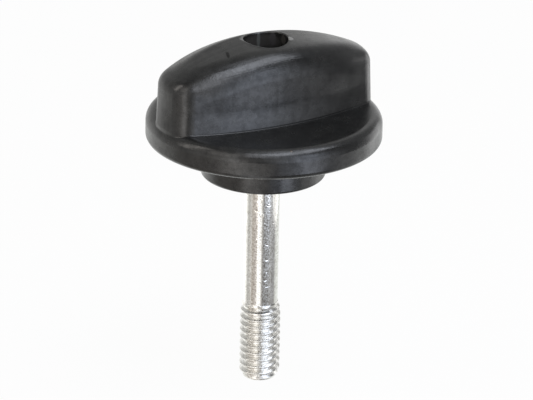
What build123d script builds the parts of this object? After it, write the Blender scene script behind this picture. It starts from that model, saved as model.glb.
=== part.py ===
from build123d import *
from math import floor, radians, sqrt, tan
import os

# Bar-grip clamping knob: a moulded plastic grip on a plated steel screw.
# The origin is the middle of the boss's underside, which presses on the clamped work.
# Z runs up the screw's axis and the grip bar lies along X. Lengths are in millimetres.

# Screw
thread_diameter = 7.94
thread_pitch = 1.411
thread_depth = 0.76
thread_crest_share = 0.125
thread_root_share = 0.25
thread_length = 16.0
thread_runout_length = 3.0
tip_diameter = 6.4
tip_chamfer_length = 1.4
shank_diameter = 6.75
screw_reach = 42.8
head_across_flats = 12.7
head_height = 5.3
head_crown_angle = 30.0

# Boss and disc
boss_diameter = 24.2
boss_height = 7.25
boss_edge_round = 0.5
disc_diameter = 45.6
disc_thickness = 5.65
disc_rim_round = 2.2
disc_under_round = 1.0
head_cover = 4.9

# Grip bar, with its widths and end ledge taken where the disc's rim rounding ends
bar_end_ledge = 0.5
bar_nose_radius = 15.0
bar_middle_width = 19.0
bar_end_width = 11.0
bar_height = 14.8
bar_arch_drop = 5.5
bar_crown_radius = 16.0
bar_draft_angle = 2.0
bar_corner_round = 4.6
bar_edge_round = 3.0
bar_foot_round = 0.3
hole_diameter = 8.7
hole_mouth_round = 0.2

# Levels along the axis
disc_top = boss_height + disc_thickness
bar_root = disc_top - disc_rim_round
bar_top = disc_top + bar_height
head_top = head_cover + head_height
thread_start = thread_length - screw_reach
full_thread_start = thread_start - thread_runout_length
full_thread_end = tip_chamfer_length - screw_reach

# Thread, drawn as rings of its own pitch: crest, flank, root, flank
thread_crest = thread_crest_share * thread_pitch
thread_root = thread_root_share * thread_pitch
thread_flank = (thread_pitch - thread_crest - thread_root) / 2
thread_turns = floor((full_thread_start - full_thread_end - thread_crest) / thread_pitch)

# Plan and side view of the bar
bar_reach = disc_diameter / 2 - bar_end_ledge
bar_corner_x = bar_reach - bar_nose_radius + sqrt(bar_nose_radius**2 - (bar_end_width / 2) ** 2)
bar_arch_radius = (bar_reach**2 + bar_arch_drop**2) / (2 * bar_arch_drop)

# Corner radius of the hexagon and the height its crown takes off there
head_corner_radius = head_across_flats / sqrt(3)
head_crown_height = (head_corner_radius - head_across_flats / 2) * tan(radians(head_crown_angle))


def thread_outline():
    """Gives the half outline of the full thread, from its start down to the tip's chamfer."""
    crest_radius = thread_diameter / 2
    root_radius = crest_radius - thread_depth
    points = [(crest_radius, full_thread_start)]
    for turn in range(thread_turns):
        groove = full_thread_start - thread_crest - turn * thread_pitch
        points.append((crest_radius, groove))
        points.append((root_radius, groove - thread_flank))
        points.append((root_radius, groove - thread_flank - thread_root))
        points.append((crest_radius, groove - 2 * thread_flank - thread_root))
    points.append((crest_radius, full_thread_end))
    return points


# Screw: crowned hexagon head, plain reduced shank, run-out, thread and chamfered tip
with BuildPart() as screw:
    with BuildSketch(Plane.XY.offset(head_cover)):
        RegularPolygon(radius=head_across_flats / 2, side_count=6, major_radius=False)
    extrude(amount=head_height)
    with BuildSketch(Plane.XZ):
        with BuildLine():
            Polyline(
                (0, head_cover),
                (head_corner_radius, head_cover),
                (head_corner_radius, head_top - head_crown_height),
                (head_across_flats / 2, head_top),
                (0, head_top),
                close=True,
            )
        make_face()
    revolve(axis=Axis.Z, mode=Mode.INTERSECT)
    with BuildSketch(Plane.XZ):
        with BuildLine():
            Polyline(
                (0, head_cover),
                (shank_diameter / 2, head_cover),
                (shank_diameter / 2, thread_start),
                *thread_outline(),
                (tip_diameter / 2, -screw_reach),
                (0, -screw_reach),
                close=True,
            )
        make_face()
    revolve(axis=Axis.Z)


# Bar: barrel plan with rounded noses and drafted walls, arched over its length and crowned across it
with BuildPart() as bar:
    with BuildSketch(Plane.XY.offset(bar_root)):
        with BuildLine():
            front = ThreePointArc(
                (-bar_corner_x, -bar_end_width / 2),
                (0, -bar_middle_width / 2),
                (bar_corner_x, -bar_end_width / 2),
            )
            mirror(front, about=Plane.XZ)
            nose = ThreePointArc(
                (bar_corner_x, -bar_end_width / 2),
                (bar_reach, 0),
                (bar_corner_x, bar_end_width / 2),
            )
            mirror(nose, about=Plane.YZ)
        make_face()
    extrude(amount=bar_top - bar_root, taper=bar_draft_angle)
    upright_corners = bar.edges().group_by(Axis.Z)[1]
    fillet(upright_corners, radius=bar_corner_round)
    with Locations(Plane(origin=(0, 0, bar_top - bar_arch_radius), z_dir=(0, 1, 0))):
        Torus(bar_arch_radius - bar_crown_radius, bar_crown_radius, mode=Mode.INTERSECT)
    fillet(bar.faces().sort_by(Axis.Z)[-1].edges(), radius=bar_edge_round)


# Grip: boss, disc and bar moulded as one piece round the screw's head
with BuildPart() as grip:
    with BuildSketch():
        Circle(boss_diameter / 2)
    extrude(amount=boss_height)
    fillet(grip.faces().sort_by(Axis.Z)[0].edges(), radius=boss_edge_round)
    with BuildSketch(Plane.XY.offset(boss_height)):
        Circle(disc_diameter / 2)
    extrude(amount=disc_thickness)
    rim = grip.edges().filter_by(GeomType.CIRCLE).sort_by(SortBy.RADIUS)[-2:].sort_by(Axis.Z)
    fillet(rim[0], radius=disc_under_round)
    fillet(rim[1], radius=disc_rim_round)
    add(bar.part)
    foot = grip.edges(Select.NEW)
    fillet(foot, radius=bar_foot_round)
    with BuildSketch(Plane.XY.offset(head_top)):
        Circle(hole_diameter / 2)
    extrude(amount=bar_top - head_top, mode=Mode.SUBTRACT)
    mouth = grip.edges(Select.LAST).sort_by(Axis.Z)[-1]
    fillet(mouth, radius=hole_mouth_round)
    add(screw.part, mode=Mode.SUBTRACT)


screw.part.label = "screw"
grip.part.label = "grip"

os.makedirs("parts", exist_ok=True)
export_step(screw.part, "parts/screw.step")
export_step(grip.part, "parts/grip.step")
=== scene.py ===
import logging
import math
from dataclasses import dataclass, field
from enum import Enum
from typing import Any

import bmesh
import bpy
from mathutils import Matrix, Vector


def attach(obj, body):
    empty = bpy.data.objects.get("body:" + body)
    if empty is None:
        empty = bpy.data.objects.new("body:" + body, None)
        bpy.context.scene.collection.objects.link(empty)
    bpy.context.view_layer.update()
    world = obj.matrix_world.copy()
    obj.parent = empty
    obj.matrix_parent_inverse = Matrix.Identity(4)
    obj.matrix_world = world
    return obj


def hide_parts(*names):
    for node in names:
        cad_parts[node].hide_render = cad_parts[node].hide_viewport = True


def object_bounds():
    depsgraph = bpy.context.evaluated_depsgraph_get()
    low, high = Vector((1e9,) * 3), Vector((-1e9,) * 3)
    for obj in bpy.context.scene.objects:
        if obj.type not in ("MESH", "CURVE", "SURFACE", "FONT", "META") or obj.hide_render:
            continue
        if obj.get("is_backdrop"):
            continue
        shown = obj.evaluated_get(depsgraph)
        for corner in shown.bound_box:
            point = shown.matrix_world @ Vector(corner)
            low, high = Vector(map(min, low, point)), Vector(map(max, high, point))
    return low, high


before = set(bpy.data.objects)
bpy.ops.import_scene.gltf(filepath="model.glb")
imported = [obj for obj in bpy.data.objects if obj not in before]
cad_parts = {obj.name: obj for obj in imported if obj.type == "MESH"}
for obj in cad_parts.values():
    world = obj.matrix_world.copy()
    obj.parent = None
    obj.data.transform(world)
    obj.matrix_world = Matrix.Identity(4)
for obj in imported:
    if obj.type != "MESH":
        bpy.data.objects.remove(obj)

MM = 0.001
LOG = logging.getLogger("clamping_knob")

Colour = tuple[float, float, float, float]
Point = tuple[float, float, float]
Span = tuple[float, float]

WHITE: Colour = (1.0, 1.0, 1.0, 1.0)
# The Specular IOR Level at which a surface's sheen follows from its IOR alone.
PLAIN_SHEEN = 0.5


class Ray(Enum):
    """The kinds of ray that the backdrop answers in its own way."""

    CAMERA = "Is Camera Ray"
    GLOSSY = "Is Glossy Ray"
    TRANSMISSION = "Is Transmission Ray"


class Shading(Enum):
    """How the faces of a modelled piece meet: the angle past which an edge stays sharp."""

    TURNED = math.radians(34.0)
    FLAT = math.radians(50.0)


def linear(hex_colour: str) -> Colour:
    """Turns an sRGB hex colour into linear light.

    Args:
        hex_colour: Six hex digits, with or without a leading hash.

    Returns:
        Red, green and blue in linear light, with an alpha of 1.
    """
    digits = hex_colour.lstrip("#")
    channels = [int(digits[i : i + 2], 16) / 255 for i in (0, 2, 4)]
    light = [c / 12.92 if c <= 0.04045 else ((c + 0.055) / 1.055) ** 2.4 for c in channels]
    return (light[0], light[1], light[2], 1.0)


def per_metre(feature_mm: float) -> float:
    """Gives the texture scale at which one feature of a pattern is this many millimetres wide."""
    return 1.0 / (feature_mm * MM)


def toward(azimuth: float, elevation: float) -> Vector:
    """Gives the unit vector from the origin towards a bearing.

    Args:
        azimuth: Degrees from +X, positive towards +Y.
        elevation: Degrees above the horizon.

    Returns:
        The direction, in the part's frame.
    """
    turn, lift = math.radians(azimuth), math.radians(elevation)
    return Vector((math.cos(turn) * math.cos(lift), math.sin(turn) * math.cos(lift), math.sin(lift)))


def add_node(
    tree: bpy.types.NodeTree,
    kind: str,
    settings: dict[Any, Any] | None = None,
    links: dict[Any, bpy.types.NodeSocket] | None = None,
    stops: list[tuple[float, Colour]] | None = None,
) -> bpy.types.Node:
    """Adds one node with its settings, its incoming links and the stops of its colour ramp.

    Args:
        tree: The node tree that takes the node.
        kind: The node's Blender type.
        settings: Values by property name, or by input name or number.
        links: Output sockets by the input name or number that each one feeds.
        stops: Position and colour of each stop of a colour ramp, from low to high.

    Returns:
        The new node.
    """
    node = tree.nodes.new(kind)
    for key, value in (settings or {}).items():
        if isinstance(key, str) and hasattr(node, key):
            setattr(node, key, value)
        else:
            node.inputs[key].default_value = value
    for key, socket in (links or {}).items():
        tree.links.new(socket, node.inputs[key])
    if stops:
        elements = node.color_ramp.elements
        while len(elements) < len(stops):
            elements.new(1.0)
        for element, (position, colour) in zip(elements, stops):
            element.position = position
            element.color = colour
    return node


def new_material(name: str) -> tuple[bpy.types.Material, bpy.types.NodeTree, bpy.types.Node]:
    """Makes a node material that holds a Principled shader and its output.

    Args:
        name: The material's name.

    Returns:
        The material, its node tree and the Principled node.
    """
    material = bpy.data.materials.new(name)
    material.use_nodes = True
    tree = material.node_tree
    return material, tree, tree.nodes["Principled BSDF"]


@dataclass(frozen=True)
class Noise:
    """A noise pattern: how wide its features are, how many finer layers it has and how strong those are."""

    feature_mm: float
    detail: float
    roughness: float = 0.5


@dataclass(frozen=True)
class Mark:
    """A blemish, or painted light or shade, on the grip: an ellipsoid in the part's frame that tints and
    lifts or dents it.
    """

    centre_mm: Point
    radii_mm: Point
    colour: str
    height_mm: float = 0.0
    turn_deg: float = 0.0
    sheen: float = 1.0
    # Inside this share of its radii the mark is full.
    core: float = 0.45

    def mask(self, tree: bpy.types.NodeTree, coords: bpy.types.NodeSocket) -> bpy.types.NodeSocket:
        """Adds the nodes that are 1 in the middle of the mark and 0 outside it.

        Args:
            tree: The material's node tree.
            coords: Object coordinates.

        Returns:
            The mask's socket.
        """
        place = add_node(
            tree,
            "ShaderNodeMapping",
            {
                "vector_type": "TEXTURE",
                "Location": [c * MM for c in self.centre_mm],
                "Rotation": (0.0, 0.0, math.radians(self.turn_deg)),
                "Scale": [r * MM for r in self.radii_mm],
            },
            {"Vector": coords},
        )
        reach = add_node(tree, "ShaderNodeVectorMath", {"operation": "LENGTH"}, {0: place.outputs[0]})
        fade = add_node(
            tree,
            "ShaderNodeMapRange",
            {
                "interpolation_type": "SMOOTHSTEP",
                "From Min": 1.0,
                "From Max": self.core,
                "To Min": 0.0,
                "To Max": 1.0,
            },
            {"Value": reach.outputs["Value"]},
        )
        return fade.outputs["Result"]


@dataclass(frozen=True)
class MouldedNylon:
    """Black nylon, moulded against a finely eroded steel tool."""

    name: str = "nylon_moulded_black"
    deep_colour: str = "#1d1d1d"
    worn_colour: str = "#262625"
    cloud: Noise = Noise(3.2, 4.0, 0.6)
    mottle: Noise = Noise(1.5, 4.0, 0.7)
    # The tool's grain is about 0.1 mm across. It is drawn at 0.4 mm, so that it shows at all.
    grain: Noise = Noise(0.4, 2.0)
    grain_height_mm: float = 0.009
    sink: Noise = Noise(9.0, 1.0)
    sink_height_mm: float = 0.03
    # The noise values between which colour, roughness and sheen run from their one end to the other.
    noise_span: Span = (0.3, 0.7)
    # The walls of the bar flare out a little over the last millimetres above the disc. Heights here
    # and below are in millimetres in the part's frame.
    flare_foot: float = 12.9
    flare_top: float = 17.4
    flare_height_mm: float = 0.60
    # The bar's long top edges are softer than the solid's own rounding. The middle line of the softer one
    # stands this far from the bar's middle and this high, and comes in and down along the bar. Each span
    # runs from where the softening ends to where it is full: along the bar, up it and out from the hole.
    edge_side: float = 4.0
    edge_level: float = 21.95
    edge_taper_per_mm: float = 0.0097
    edge_fall_per_mm: float = 0.0101
    edge_ends: Span = (20.0, 15.0)
    edge_foot: Span = (15.0, 17.0)
    edge_hole: Span = (4.6, 5.2)
    smooth_roughness: float = 0.20
    rough_roughness: float = 0.29
    low_sheen: float = 0.36
    high_sheen: float = 0.66
    refraction: float = 1.53
    # A nick on the bar's top, a speck on the rim, a burr at the hole's mouth with a painted highlight on
    # it, a painted highlight along the mouth's edge, painted light and painted reflections on the hole's
    # wall, and painted shade along the crease where the bar meets the disc.
    marks: tuple[Mark, ...] = (
        Mark((-9.83, -2.64, 26.44), (0.48, 1.5, 0.8), "#0c0c0c", -0.05, -20.0, 0.25),
        Mark((-6.34, -20.74, 12.61), (0.3, 0.3, 0.3), "#6a625a", 0.05),
        # A burr at the hole's mouth, lifted a little, with a painted highlight on it.
        Mark((3.98, -2.1, 27.4), (0.9, 1.1, 0.6), "#868683", 0.06),
        # A painted highlight along the rounded edge of the hole's mouth.
        Mark((-4.4, 1.5, 27.45), (0.35, 1.3, 0.4), "#6c6c6a"),
        # Painted light on the hole's wall, with painted reflections streaking down it.
        Mark((0.9, 3.3, 25.4), (5.4, 3.8, 2.0), "#4a4846"),
        Mark((0.93, 4.25, 25.6), (0.45, 0.6, 2.4), "#6c6e6c"),
        Mark((3.28, 2.85, 25.9), (0.9, 0.9, 1.8), "#504e4f"),
        Mark((4.31, 0.58, 26.2), (0.7, 1.0, 1.2), "#484643"),
        # Painted shade along the crease where the bar meets the disc: the deep tone, with its reflection
        # dulled.
        Mark((0.0, 0.0, 13.1), (24.0, 60.0, 0.2), "#1d1d1d", 0.0, 0.0, 0.3),
    )

    def soften_edges(self, tree: bpy.types.NodeTree, coords: bpy.types.NodeSocket) -> bpy.types.NodeSocket:
        """Adds the nodes that round the bar's long top edges off over a few millimetres more.

        Args:
            tree: The material's node tree.
            coords: Object coordinates.

        Returns:
            The softened normal.
        """
        millimetres = add_node(
            tree, "ShaderNodeVectorMath", {"operation": "SCALE", "Scale": 1 / MM}, {0: coords}
        ).outputs["Vector"]
        folded = add_node(
            tree, "ShaderNodeVectorMath", {"operation": "ABSOLUTE"}, {0: millimetres}
        ).outputs["Vector"]
        split = add_node(tree, "ShaderNodeSeparateXYZ", links={0: folded})
        square = add_node(
            tree,
            "ShaderNodeMath",
            {"operation": "MULTIPLY"},
            {0: split.outputs["X"], 1: split.outputs["X"]},
        )
        inward = add_node(
            tree,
            "ShaderNodeMath",
            {"operation": "MULTIPLY_ADD", 1: self.edge_taper_per_mm, 2: -self.edge_side},
            {0: square.outputs[0]},
        )
        downward = add_node(
            tree,
            "ShaderNodeMath",
            {"operation": "MULTIPLY_ADD", 1: self.edge_fall_per_mm, 2: -self.edge_level},
            {0: square.outputs[0]},
        )
        middle_line = add_node(
            tree,
            "ShaderNodeCombineXYZ",
            links={"Y": inward.outputs[0], "Z": downward.outputs[0]},
        )
        across = add_node(
            tree,
            "ShaderNodeVectorMath",
            {"operation": "MULTIPLY_ADD", 1: (0.0, 1.0, 1.0)},
            {0: folded, 2: middle_line.outputs[0]},
        )
        outside = add_node(
            tree,
            "ShaderNodeVectorMath",
            {"operation": "MAXIMUM", 1: (0.0, 0.0, 0.0)},
            {0: across.outputs["Vector"]},
        )
        plan = add_node(
            tree,
            "ShaderNodeVectorMath",
            {"operation": "MULTIPLY", 1: (1.0, 1.0, 0.0)},
            {0: folded},
        )
        reach, from_axis = (
            add_node(
                tree, "ShaderNodeVectorMath", {"operation": "LENGTH"}, {0: offset.outputs["Vector"]}
            ).outputs["Value"]
            for offset in (outside, plan)
        )
        shares = [
            add_node(
                tree,
                "ShaderNodeMapRange",
                {"From Min": none, "From Max": full, "To Min": 0.0, "To Max": 1.0},
                {"Value": place},
            ).outputs["Result"]
            for place, (none, full) in (
                (split.outputs["X"], self.edge_ends),
                (split.outputs["Z"], self.edge_foot),
                (from_axis, self.edge_hole),
            )
        ]
        strength = shares[0]
        for share in shares[1:]:
            strength = add_node(
                tree, "ShaderNodeMath", {"operation": "MULTIPLY"}, {0: strength, 1: share}
            ).outputs[0]
        rounded = add_node(
            tree,
            "ShaderNodeBump",
            {"invert": True, "Distance": MM},
            {"Strength": strength, "Height": reach},
        )
        return rounded.outputs["Normal"]

    def build(self) -> bpy.types.Material:
        """Makes the material.

        Returns:
            The black nylon.
        """
        # Nylon leaves the tool dark and even, with a soft broad sheen. The sheen clouds and mottles over
        # a few millimetres where the melt cooled at different speeds, and thick walls sink very slightly.
        material, tree, shader = new_material(self.name)
        coords = add_node(tree, "ShaderNodeTexCoord").outputs["Object"]
        cloud, mottle, grain, sink = (
            add_node(
                tree,
                "ShaderNodeTexNoise",
                {
                    "Scale": per_metre(noise.feature_mm),
                    "Detail": noise.detail,
                    "Roughness": noise.roughness,
                },
                {"Vector": coords},
            ).outputs["Fac"]
            for noise in (self.cloud, self.mottle, self.grain, self.sink)
        )
        low, high = self.noise_span
        colour = add_node(
            tree,
            "ShaderNodeValToRGB",
            links={"Fac": cloud},
            stops=[(low, linear(self.deep_colour)), (high, linear(self.worn_colour))],
        ).outputs["Color"]
        gloss, sheen = (
            add_node(
                tree,
                "ShaderNodeMapRange",
                {"From Min": low, "From Max": high, "To Min": least, "To Max": most},
                {"Value": noise},
            ).outputs["Result"]
            for noise, least, most in (
                (cloud, self.smooth_roughness, self.rough_roughness),
                (mottle, self.low_sheen, self.high_sheen),
            )
        )
        height = add_node(tree, "ShaderNodeSeparateXYZ", links={0: coords})
        above_disc = add_node(
            tree,
            "ShaderNodeMath",
            {"operation": "MAXIMUM", 1: self.flare_foot * MM},
            {0: height.outputs["Z"]},
        )
        # The lower half of the smooth step is cut off at the disc, so the flare is steepest at its foot.
        foot = add_node(
            tree,
            "ShaderNodeMapRange",
            {
                "interpolation_type": "SMOOTHSTEP",
                "From Min": self.flare_top * MM,
                "From Max": (2 * self.flare_foot - self.flare_top) * MM,
                "To Min": 0.0,
                "To Max": 2.0,
            },
            {"Value": above_disc.outputs[0]},
        )
        flare = add_node(
            tree,
            "ShaderNodeBump",
            {"Strength": 1.0, "Distance": self.flare_height_mm * MM},
            {"Height": foot.outputs["Result"], "Normal": self.soften_edges(tree, coords)},
        )
        dents = add_node(
            tree,
            "ShaderNodeBump",
            {"Strength": 1.0, "Distance": self.sink_height_mm * MM},
            {"Height": sink, "Normal": flare.outputs["Normal"]},
        )
        relief = add_node(
            tree,
            "ShaderNodeBump",
            {"Strength": 1.0, "Distance": self.grain_height_mm * MM},
            {"Height": grain, "Normal": dents.outputs["Normal"]},
        )
        # Blemishes, painted highlights and reflections, and painted shade go over the nylon's colour,
        # relief and sheen.
        for mark in self.marks:
            mask = mark.mask(tree, coords)
            blend = add_node(
                tree,
                "ShaderNodeMix",
                {"data_type": "RGBA", 7: linear(mark.colour)},
                {0: mask, 6: colour},
            )
            colour = blend.outputs[2]
            if mark.height_mm:
                relief = add_node(
                    tree,
                    "ShaderNodeBump",
                    {"Strength": 1.0, "Distance": mark.height_mm * MM},
                    {"Height": mask, "Normal": relief.outputs["Normal"]},
                )
            if mark.sheen < 1.0:
                sheen = add_node(
                    tree,
                    "ShaderNodeMapRange",
                    {"From Min": 0.0, "From Max": 1.0, "To Max": PLAIN_SHEEN * mark.sheen},
                    {"Value": mask, "To Min": sheen},
                ).outputs["Result"]
        tree.links.new(colour, shader.inputs["Base Color"])
        tree.links.new(sheen, shader.inputs["Specular IOR Level"])
        tree.links.new(gloss, shader.inputs["Roughness"])
        tree.links.new(relief.outputs["Normal"], shader.inputs["Normal"])
        shader.inputs["IOR"].default_value = self.refraction
        return material


@dataclass(frozen=True)
class ZincPlate:
    """Bright zinc, plated on a rolled steel screw."""

    name: str = "zinc_plate_bright"
    clean_colour: str = "#f5f5f2"
    dull_colour: str = "#e6e5e0"
    # Each span gives the noise values between which its pattern comes in.
    stain: Noise = Noise(1.6, 3.0, 0.6)
    stain_span: Span = (0.32, 0.62)
    # The plated crystals are some 0.05 mm across. They are drawn at 0.3 mm, so that they show at all.
    spangle: Noise = Noise(0.30, 3.0, 0.65)
    spangle_span: Span = (0.36, 0.56)
    spangle_height_mm: float = 0.003
    spangle_shade: str = "#d2cfcd"
    dent: Noise = Noise(1.1, 1.0)
    dent_span: Span = (0.64, 0.78)
    dent_height_mm: float = 0.02
    gloss_span: Span = (0.35, 0.65)
    smooth_roughness: float = 0.06
    rough_roughness: float = 0.15
    # The rolled thread is duller than the drawn shank. Heights are in millimetres in the part's frame.
    shank_end: float = -26.4
    thread_start: float = -28.4
    thread_roughness: float = 0.18

    def build(self) -> bpy.types.Material:
        """Makes the material.

        Returns:
            The plated steel.
        """
        # Bright zinc mirrors the room, but the plated crystals break the mirror into fine specks,
        # and the clear dip over it dries in faint warm patches.
        material, tree, shader = new_material(self.name)
        coords = add_node(tree, "ShaderNodeTexCoord").outputs["Object"]
        stain, spangle, knocks = (
            add_node(
                tree,
                "ShaderNodeTexNoise",
                {
                    "Scale": per_metre(noise.feature_mm),
                    "Detail": noise.detail,
                    "Roughness": noise.roughness,
                },
                {"Vector": coords},
            ).outputs["Fac"]
            for noise in (self.stain, self.spangle, self.dent)
        )
        tint, specks = (
            add_node(
                tree,
                "ShaderNodeValToRGB",
                links={"Fac": noise},
                stops=[(low, dark), (high, light)],
            ).outputs["Color"]
            for noise, (low, high), dark, light in (
                (stain, self.stain_span, linear(self.dull_colour), linear(self.clean_colour)),
                (spangle, self.spangle_span, linear(self.spangle_shade), WHITE),
            )
        )
        speckled = add_node(
            tree,
            "ShaderNodeMix",
            {"data_type": "RGBA", "blend_type": "MULTIPLY", 0: 1.0},
            {6: tint, 7: specks},
        )
        dent = add_node(
            tree,
            "ShaderNodeMapRange",
            {
                "interpolation_type": "SMOOTHSTEP",
                "From Min": self.dent_span[0],
                "From Max": self.dent_span[1],
                "To Min": 0.0,
                "To Max": 1.0,
            },
            {"Value": knocks},
        )
        dents = add_node(
            tree,
            "ShaderNodeBump",
            {"Strength": 1.0, "Distance": -self.dent_height_mm * MM},
            {"Height": dent.outputs["Result"]},
        )
        gloss = add_node(
            tree,
            "ShaderNodeMapRange",
            {
                "From Min": self.gloss_span[0],
                "From Max": self.gloss_span[1],
                "To Min": self.smooth_roughness,
                "To Max": self.rough_roughness,
            },
            {"Value": spangle},
        )
        height = add_node(tree, "ShaderNodeSeparateXYZ", links={0: coords})
        rolled = add_node(
            tree,
            "ShaderNodeMapRange",
            {
                "From Min": self.shank_end * MM,
                "From Max": self.thread_start * MM,
                "To Min": 0.0,
                "To Max": self.thread_roughness,
            },
            {"Value": height.outputs["Z"]},
        )
        dulled = add_node(
            tree,
            "ShaderNodeMath",
            {"operation": "ADD"},
            {0: gloss.outputs["Result"], 1: rolled.outputs["Result"]},
        )
        relief = add_node(
            tree,
            "ShaderNodeBump",
            {"Strength": 1.0, "Distance": self.spangle_height_mm * MM},
            {"Height": spangle, "Normal": dents.outputs["Normal"]},
        )
        tree.links.new(speckled.outputs[2], shader.inputs["Base Color"])
        tree.links.new(dulled.outputs[0], shader.inputs["Roughness"])
        tree.links.new(relief.outputs["Normal"], shader.inputs["Normal"])
        shader.inputs["Metallic"].default_value = 1.0
        return material


def to_object(shape: bmesh.types.BMesh, name: str, shading: Shading) -> bpy.types.Object:
    """Closes a modelled shape and puts it in the scene.

    Args:
        shape: The shape, in metres in the part's frame. It is freed here.
        name: The piece's name.
        shading: How its faces meet.

    Returns:
        The piece, at the origin.
    """
    bmesh.ops.recalc_face_normals(shape, faces=shape.faces)
    mesh = bpy.data.meshes.new(name)
    shape.to_mesh(mesh)
    shape.free()
    mesh.shade_smooth()
    mesh.set_sharp_from_angle(angle=shading.value)
    piece = bpy.data.objects.new(name, mesh)
    bpy.context.scene.collection.objects.link(piece)
    return piece


@dataclass
class Grip:
    """The moulded grip: bar, disc and boss in one piece, as the frame holds it."""

    node: bpy.types.Object
    finish: MouldedNylon = field(default_factory=MouldedNylon)

    def dress(self) -> bpy.types.Object:
        """Gives the grip its black nylon.

        Returns:
            The dressed grip.
        """
        self.node.data.materials.clear()
        self.node.data.materials.append(self.finish.build())
        return self.node


@dataclass
class Screw:
    """The plated screw: rolled thread, reduced shank and moulded-in head. Sizes are in millimetres."""

    thread_diameter: float = 7.94
    thread_pitch: float = 1.411
    thread_depth: float = 0.76
    crest_width: float = 0.18
    root_width: float = 0.35
    crest_round: float = 0.085
    crest_steps: int = 3
    thread_start: float = -26.8
    runout_length: float = 3.0
    reach: float = 42.8
    tip_diameter: float = 6.4
    tip_chamfer_length: float = 1.4
    tip_edge: float = 0.18
    shank_diameter: float = 6.75
    head_across_flats: float = 12.7
    head_bottom: float = 4.9
    head_top: float = 10.2
    head_edge: float = 0.4
    head_turn_deg: float = 30.0
    turn_steps: int = 96
    # Points closer together than weld are merged, and a point within near of a height counts as at it.
    weld: float = 0.002
    near: float = 0.001
    finish: ZincPlate = field(default_factory=ZincPlate)

    def build(self) -> bpy.types.Object:
        """Models the screw.

        Returns:
            The screw, in place.
        """
        shape = bmesh.new()
        self.roll_thread(shape)
        self.draw_shank(shape)
        self.close_tip(shape)
        self.forge_head(shape)
        return to_object(shape, "plated_screw", Shading.TURNED)

    def roll_thread(self, shape: bmesh.types.BMesh) -> None:
        """Winds one pitch of the thread's profile up the screw and trims both its ends.

        Args:
            shape: The shape that takes the thread.
        """
        crest = self.thread_diameter / 2
        root = crest - self.thread_depth
        flank = (self.thread_pitch - self.crest_width - self.root_width) / 2
        bottom = -self.reach - 2 * self.thread_pitch
        turns = math.ceil((self.thread_start - bottom) / self.thread_pitch) + 2
        rises = [0.0, self.root_width / 2]
        rises.append(rises[-1] + flank)
        rises.append(rises[-1] + self.crest_width)
        rises.append(rises[-1] + flank)
        rises.append(self.thread_pitch)
        radii = [root, root, crest, crest, root, root]
        profile = [shape.verts.new((r * MM, 0.0, (bottom + z) * MM)) for r, z in zip(radii, rises)]
        for pair in zip(profile, profile[1:]):
            shape.edges.new(pair)
        bmesh.ops.bevel(
            shape,
            geom=profile[1:-1],
            offset=self.crest_round * MM,
            affect="VERTICES",
            segments=self.crest_steps,
            profile=0.5,
            material=-1,
        )
        bmesh.ops.spin(
            shape,
            geom=list(shape.verts) + list(shape.edges),
            cent=(0.0, 0.0, 0.0),
            axis=(0.0, 0.0, 1.0),
            dvec=(0.0, 0.0, self.thread_pitch * MM / self.turn_steps),
            angle=math.tau,
            steps=self.turn_steps,
            use_merge=False,
        )
        turn = list(shape.verts) + list(shape.edges) + list(shape.faces)
        for count in range(1, turns):
            copied = bmesh.ops.duplicate(shape, geom=turn)["geom"]
            moved = [g for g in copied if isinstance(g, bmesh.types.BMVert)]
            bmesh.ops.translate(shape, verts=moved, vec=(0.0, 0.0, count * self.thread_pitch * MM))
        bmesh.ops.remove_doubles(shape, verts=shape.verts, dist=self.weld * MM)
        for level, facing in ((self.thread_start, 1.0), (-self.reach, -1.0)):
            bmesh.ops.bisect_plane(
                shape,
                geom=list(shape.verts) + list(shape.edges) + list(shape.faces),
                plane_co=(0.0, 0.0, level * MM),
                plane_no=(0.0, 0.0, facing),
                clear_outer=True,
            )
        for vert in shape.verts:
            self.fit_radius(vert)

    def fit_radius(self, vert: bmesh.types.BMVert) -> None:
        """Brings one point of the thread inside the tip's chamfer and the run-out.

        Args:
            vert: The point to move, straight in or out from the axis.
        """
        shank = self.shank_diameter / 2
        crest = self.thread_diameter / 2
        level = vert.co.z / MM
        radius = math.hypot(vert.co.x, vert.co.y) / MM
        above_tip = (level + self.reach) / self.tip_chamfer_length
        below_start = (self.thread_start - level) / self.runout_length
        wanted = radius
        if above_tip < 1.0:
            tip = self.tip_diameter / 2
            wanted = min(wanted, tip + (crest - tip) * above_tip)
        if below_start < 1.0:
            grown = math.sqrt(max(below_start, 0.0))
            root = crest - self.thread_depth
            wanted = min(wanted, shank + (crest - shank) * grown)
            wanted = max(wanted, shank + (root - shank) * max(below_start, 0.0))
        vert.co.x *= wanted / radius
        vert.co.y *= wanted / radius

    def rim_edges(self, shape: bmesh.types.BMesh, level: float) -> list[bmesh.types.BMEdge]:
        """Finds the open edges at one height.

        Args:
            shape: The shape to look through.
            level: The height, in millimetres.

        Returns:
            The edges with one face that lie at that height.
        """
        return [
            e
            for e in shape.edges
            if e.is_boundary and all(abs(v.co.z - level * MM) < self.near * MM for v in e.verts)
        ]

    def draw_shank(self, shape: bmesh.types.BMesh) -> None:
        """Draws the plain shank up from the thread's start into the head.

        Args:
            shape: The shape that holds the thread.
        """
        rim = self.rim_edges(shape, self.thread_start)
        grown = bmesh.ops.extrude_edge_only(shape, edges=rim)["geom"]
        ring = [g for g in grown if isinstance(g, bmesh.types.BMVert)]
        middle = (self.head_bottom + self.head_top) / 2
        bmesh.ops.translate(shape, verts=ring, vec=(0.0, 0.0, (middle - self.thread_start) * MM))
        bmesh.ops.holes_fill(shape, edges=self.rim_edges(shape, middle))

    def close_tip(self, shape: bmesh.types.BMesh) -> None:
        """Closes the screw's end and breaks its edge.

        Args:
            shape: The shape that holds the thread.
        """
        rim = self.rim_edges(shape, -self.reach)
        end = bmesh.ops.holes_fill(shape, edges=rim)["faces"]
        bmesh.ops.inset_region(
            shape,
            faces=end,
            thickness=self.tip_edge * MM,
            depth=0.0,
            use_even_offset=True,
        )

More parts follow.
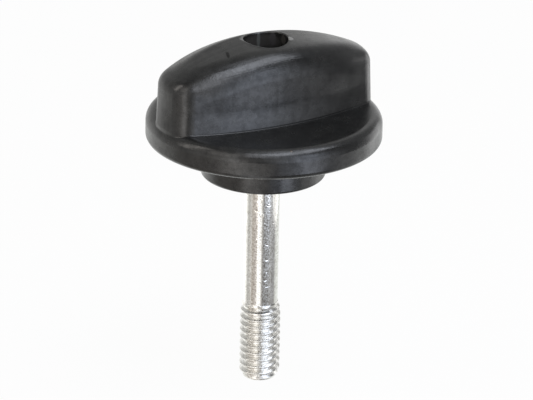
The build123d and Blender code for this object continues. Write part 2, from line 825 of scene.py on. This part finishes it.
    def forge_head(self, shape: bmesh.types.BMesh) -> None:
        """Adds the hexagon head that the grip is moulded round.

        Args:
            shape: The shape that holds the shank.
        """
        height = self.head_top - self.head_bottom
        corner = self.head_across_flats / math.sqrt(3)
        place = Matrix.Translation((0.0, 0.0, (self.head_bottom + height / 2) * MM))
        made = bmesh.ops.create_cone(
            shape,
            cap_ends=True,
            segments=6,
            radius1=corner * MM,
            radius2=corner * MM,
            depth=height * MM,
            matrix=place @ Matrix.Rotation(math.radians(self.head_turn_deg), 4, "Z"),
        )
        top = [
            e
            for e in {e for v in made["verts"] for e in v.link_edges}
            if all(v.co.z > (self.head_top - self.near) * MM for v in e.verts)
        ]
        bmesh.ops.bevel(
            shape,
            geom=top,
            offset=self.head_edge * MM,
            affect="EDGES",
            segments=1,
            profile=0.5,
            material=-1,
        )

    def dress(self, piece: bpy.types.Object) -> bpy.types.Object:
        """Plates the screw and lets it stand for the frame's plain one.

        Args:
            piece: The modelled screw.

        Returns:
            The dressed screw.
        """
        piece.data.materials.append(self.finish.build())
        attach(piece, "root")
        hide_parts("screw")
        return piece


@dataclass(frozen=True)
class SoftBox:
    """One soft lamp of the studio, aimed at the middle of the knob."""

    name: str
    azimuth: float
    elevation: float
    distance: float
    width: float
    height: float
    watts: float
    colour: str
    mirrored_only: bool = False

    def hang(self, target: Vector) -> bpy.types.Object:
        """Puts the lamp up.

        Args:
            target: The point that it faces.

        Returns:
            The lamp.
        """
        data = bpy.data.lights.new(self.name, "AREA")
        data.shape = "RECTANGLE"
        data.size = self.width
        data.size_y = self.height
        data.energy = self.watts
        data.color = linear(self.colour)[:3]
        lamp = bpy.data.objects.new(self.name, data)
        aim = toward(self.azimuth, self.elevation)
        lamp.location = target + aim * self.distance
        lamp.rotation_euler = aim.to_track_quat("Z", "Y").to_euler()
        lamp.visible_camera = False
        lamp.visible_diffuse = not self.mirrored_only
        bpy.context.scene.collection.objects.link(lamp)
        return lamp


@dataclass(frozen=True)
class Surround:
    """The room as polished things mirror it: a white table, and walls that darken towards the ceiling."""

    # Bearing in degrees from +X and the tone seen there. The camera stands at about -121 degrees.
    table: tuple[tuple[float, str], ...] = (
        (-180.0, "#a69f98"),
        (-160.0, "#aaa39f"),
        (-152.0, "#bbb5b0"),
        (-146.0, "#ffffff"),
        (-126.0, "#ffffff"),
        (-118.0, "#a8a6a4"),
        (-108.0, "#6e6c6b"),
        (-80.0, "#777675"),
        (-60.0, "#989899"),
        (-38.0, "#8e8e90"),
        (-24.0, "#9b9b9c"),
        (-14.0, "#c3c5c3"),
        (2.0, "#cfd1cf"),
        (40.0, "#dee0df"),
        (90.0, "#e4e6e4"),
        (136.0, "#eaeae6"),
        (146.0, "#a8a29b"),
    )
    table_strength: float = 1.42
    walls: tuple[tuple[float, str], ...] = (
        (-180.0, "#a29f9c"),
        (-166.0, "#a9a6a2"),
        (-156.0, "#f0ebe6"),
        (-149.0, "#ffffff"),
        (-142.0, "#e4dfda"),
        (-134.0, "#686665"),
        (-120.0, "#5a5958"),
        (-111.0, "#8a8b8e"),
        (-103.0, "#cfd4de"),
        (-90.0, "#dfe7f6"),
        (-77.0, "#e2ebfd"),
        (-66.0, "#bcc2cd"),
        (-56.0, "#b2b4b9"),
        (-42.0, "#686869"),
        (-25.0, "#545454"),
        (-5.0, "#7c7c7c"),
        (30.0, "#929292"),
        (45.0, "#c0c0c0"),
        (60.0, "#90908f"),
        (105.0, "#b1b1b0"),
        (135.0, "#8e8d8b"),
        (150.0, "#8b8a88"),
    )
    wall_strength: float = 2.4
    # Between these elevations, in degrees, the table's edge gives way to the walls.
    table_edge: Span = (-21.8, -20.4)
    # Elevation in degrees and the share of the walls' tone that is left there.
    heights: tuple[Span, ...] = (
        (-90.0, 1.0),
        (0.0, 1.0),
        (10.0, 0.75),
        (22.0, 0.62),
        (35.0, 0.56),
        (50.0, 0.42),
        (65.0, 0.32),
        (90.0, 0.28),
    )
    fill_colour: str = "#ffffff"
    fill_strength: float = 0.3

    def band(
        self,
        tree: bpy.types.NodeTree,
        share: bpy.types.NodeSocket,
        tones: tuple[tuple[float, str], ...],
        strength: bpy.types.NodeSocket | float,
    ) -> bpy.types.NodeSocket:
        """Adds one band of the room, which runs all the way round.

        Args:
            tree: The world's node tree.
            share: The bearing, as a share of a full turn from -180 degrees.
            tones: Bearing and tone of each stop.
            strength: The light's strength, or the socket that gives it.

        Returns:
            The band's light.
        """
        stops = [((a + 180) / 360, linear(c)) for a, c in tones]
        ring = add_node(
            tree,
            "ShaderNodeValToRGB",
            links={"Fac": share},
            stops=stops + [(1.0, stops[0][1])],
        )
        glow = add_node(tree, "ShaderNodeBackground", links={"Color": ring.outputs["Color"]})
        if isinstance(strength, float):
            glow.inputs["Strength"].default_value = strength
        else:
            tree.links.new(strength, glow.inputs["Strength"])
        return glow.outputs[0]

    def build(self) -> None:
        """Makes the world: white to the camera, the room to reflections, even fill to the rest."""
        world = bpy.data.worlds.new("studio_room")
        bpy.context.scene.world = world
        world.use_nodes = True
        tree = world.node_tree
        tree.nodes.clear()
        coords = add_node(tree, "ShaderNodeTexCoord")
        split = add_node(tree, "ShaderNodeSeparateXYZ", links={0: coords.outputs["Generated"]})
        bearing = add_node(
            tree,
            "ShaderNodeMath",
            {"operation": "ARCTAN2"},
            {0: split.outputs["Y"], 1: split.outputs["X"]},
        )
        share = add_node(
            tree,
            "ShaderNodeMath",
            {"operation": "MULTIPLY_ADD", 1: 1 / math.tau, 2: 0.5},
            {0: bearing.outputs[0]},
        )
        rise = add_node(
            tree,
            "ShaderNodeMath",
            {"operation": "MULTIPLY_ADD", 1: 0.5, 2: 0.5},
            {0: split.outputs["Z"]},
        )
        lift = add_node(
            tree,
            "ShaderNodeValToRGB",
            links={"Fac": rise.outputs[0]},
            stops=[((math.sin(math.radians(a)) + 1) / 2, (s, s, s, 1.0)) for a, s in self.heights],
        )
        power = add_node(
            tree,
            "ShaderNodeMath",
            {"operation": "MULTIPLY", 1: self.wall_strength},
            {0: lift.outputs["Color"]},
        )
        low, high = (math.sin(math.radians(a)) for a in self.table_edge)
        edge = add_node(
            tree,
            "ShaderNodeMapRange",
            {"From Min": low, "From Max": high, "To Min": 0.0, "To Max": 1.0},
            {"Value": split.outputs["Z"]},
        )
        room = add_node(
            tree,
            "ShaderNodeMixShader",
            links={
                0: edge.outputs["Result"],
                1: self.band(tree, share.outputs[0], self.table, self.table_strength),
                2: self.band(tree, share.outputs[0], self.walls, power.outputs[0]),
            },
        )
        fill = add_node(
            tree,
            "ShaderNodeBackground",
            {"Color": linear(self.fill_colour), "Strength": self.fill_strength},
        )
        white = add_node(tree, "ShaderNodeBackground", {"Color": WHITE, "Strength": 1.0})
        paths = add_node(tree, "ShaderNodeLightPath")
        mirrored = add_node(
            tree,
            "ShaderNodeMath",
            {"operation": "MAXIMUM"},
            {0: paths.outputs[Ray.GLOSSY.value], 1: paths.outputs[Ray.TRANSMISSION.value]},
        )
        lit = add_node(
            tree,
            "ShaderNodeMixShader",
            links={0: mirrored.outputs[0], 1: fill.outputs[0], 2: room.outputs[0]},
        )
        seen = add_node(
            tree,
            "ShaderNodeMixShader",
            links={0: paths.outputs[Ray.CAMERA.value], 1: lit.outputs[0], 2: white.outputs[0]},
        )
        add_node(tree, "ShaderNodeOutputWorld", links={"Surface": seen.outputs[0]})
        world.cycles.sampling_method = "NONE"


@dataclass
class Studio:
    """Floor, lamps and camera. Sizes are in metres."""

    floor_level: float
    floor_size: float = 6.0
    floor_colour: str = "#f4f4f4"
    floor_glow: float = 0.96
    target: Vector = field(default_factory=lambda: Vector((0.0, 0.0, 0.005)))
    camera_azimuth: float = -120.95
    camera_elevation: float = 21.7
    camera_roll: float = 1.15
    camera_distance: float = 0.750
    # The lens and the sensor are in millimetres.
    lens: float = 262.23
    sensor_width: float = 36.0
    clip: Span = (0.01, 20.0)
    aim_right: float = 0.00066
    aim_down: float = 0.00542
    surround: Surround = field(default_factory=Surround)
    # Each lamp's name, bearing, elevation, distance, width, height, watts and colour. The cards and walls
    # marked True at the end show in reflections only.
    lamps: tuple[SoftBox, ...] = (
        SoftBox("overhead", -62.0, 68.0, 0.60, 0.52, 0.26, 1.70, "#f0f5ff"),
        SoftBox("window", -76.0, 22.0, 0.55, 0.34, 0.28, 0.150, "#e6efff"),
        SoftBox("window_pane", -75.0, 28.0, 0.50, 0.12, 0.16, 0.085, "#e6efff"),
        SoftBox("front_lamp", -112.0, 48.0, 0.50, 0.145, 0.30, 0.12, "#f4f7ff"),
        SoftBox("front_card", -127.1, 46.9, 0.0773, 0.018, 0.046, 0.0050, "#f4f7ff", True),
        SoftBox("low_wall", -78.0, -3.0, 0.50, 0.26, 0.13, 0.075, "#eef3ff", True),
        SoftBox("front_wall", -118.0, 12.0, 0.50, 0.25, 0.26, 0.092, "#fbf9f7", True),
        SoftBox("overhead_far", 17.9, 76.7, 0.565, 0.14, 0.30, 0.185, "#f0f5ff", True),
        SoftBox("left_lamp", 160.0, 34.0, 0.50, 0.10, 0.40, 0.32, "#fff9f2"),
        SoftBox("left_wall", -165.0, 35.0, 0.50, 0.20, 0.30, 0.15, "#fffaf4", True),
        SoftBox("left_card", 100.0, -37.8, 0.0633, 0.087, 0.040, 0.0033, "#ffffff", True),
        SoftBox("right_card", 3.0, 0.0, 0.115, 0.055, 0.070, 0.0150, "#ffffff", True),
        SoftBox("low_card_right", -22.0, -22.0, 0.116, 0.110, 0.028, 0.0078, "#ffffff", True),
        SoftBox("low_card_window", -78.0, -18.0, 0.116, 0.040, 0.028, 0.0060, "#eef3ff", True),
        SoftBox("low_card_front", -132.0, -18.0, 0.116, 0.090, 0.028, 0.0036, "#fff6ec", True),
    )

    def lay_floor(self) -> bpy.types.Object:
        """Lays the pale floor that the screw's tip stands on.

        Returns:
            The floor.
        """
        shape = bmesh.new()
        bmesh.ops.create_grid(
            shape,
            x_segments=1,
            y_segments=1,
            size=self.floor_size / 2,
            matrix=Matrix.Translation((0.0, 0.0, self.floor_level)),
        )
        floor = to_object(shape, "studio_floor", Shading.FLAT)
        material = bpy.data.materials.new("paper_matte_white")
        material.use_nodes = True
        tree = material.node_tree
        tree.nodes.clear()
        # Matte paper, lifted towards plain white for the camera so that only a soft shadow is left.
        paper = add_node(tree, "ShaderNodeBsdfDiffuse", {"Color": linear(self.floor_colour)})
        glow = add_node(tree, "ShaderNodeEmission", {"Color": WHITE, "Strength": 1.0})
        paths = add_node(tree, "ShaderNodeLightPath")
        share = add_node(
            tree,
            "ShaderNodeMath",
            {"operation": "MULTIPLY", 1: self.floor_glow},
            {0: paths.outputs[Ray.CAMERA.value]},
        )
        mixed = add_node(
            tree,
            "ShaderNodeMixShader",
            links={0: share.outputs[0], 1: paper.outputs[0], 2: glow.outputs[0]},
        )
        add_node(tree, "ShaderNodeOutputMaterial", links={"Surface": mixed.outputs[0]})
        floor.data.materials.append(material)
        floor.visible_glossy = False
        floor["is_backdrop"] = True
        return floor

    def light(self) -> list[bpy.types.Object]:
        """Builds the room and hangs the lamps.

        Returns:
            The lamps.
        """
        self.surround.build()
        return [lamp.hang(self.target) for lamp in self.lamps]

    def place_camera(self) -> bpy.types.Object:
        """Stands the camera where the photograph was taken from.

        Returns:
            The camera, made the scene's own.
        """
        away = toward(self.camera_azimuth, self.camera_elevation)
        right = Vector((0.0, 0.0, 1.0)).cross(away).normalized()
        up = away.cross(right)
        tilt = math.radians(self.camera_roll)
        rolled_right = right * math.cos(tilt) + up * math.sin(tilt)
        rolled_up = up * math.cos(tilt) - right * math.sin(tilt)
        eye = away * self.camera_distance
        aim = rolled_right * self.aim_right - rolled_up * self.aim_down
        back = (eye - aim).normalized()
        side = rolled_up.cross(back).normalized()
        top = back.cross(side)
        data = bpy.data.cameras.new("photo_camera")
        data.sensor_fit = "HORIZONTAL"
        data.sensor_width = self.sensor_width
        data.lens = self.lens
        data.clip_start, data.clip_end = self.clip
        camera = bpy.data.objects.new("photo_camera", data)
        turn = Matrix((side, top, back)).transposed().to_4x4()
        camera.matrix_world = Matrix.Translation(eye) @ turn
        bpy.context.scene.collection.objects.link(camera)
        bpy.context.scene.camera = camera
        return camera


def main() -> None:
    """Dresses the knob, builds the studio round it and reports each piece."""
    logging.basicConfig(level=logging.INFO, format="%(name)s: %(message)s")
    cad_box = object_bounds()
    bpy.context.scene.view_settings.view_transform = "Standard"
    grip = Grip(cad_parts["grip"]).dress()
    LOG.info("%s wears %s", grip.name, grip.data.materials[0].name)
    screw = Screw()
    piece = screw.dress(screw.build())
    LOG.info("%s has %d faces", piece.name, len(piece.data.polygons))
    studio = Studio(floor_level=cad_box[0][2])
    LOG.info("%s laid", studio.lay_floor().name)
    LOG.info("%d lamps hung", len(studio.light()))
    LOG.info("%s placed", studio.place_camera().name)


if __name__ == "__main__":
    main()
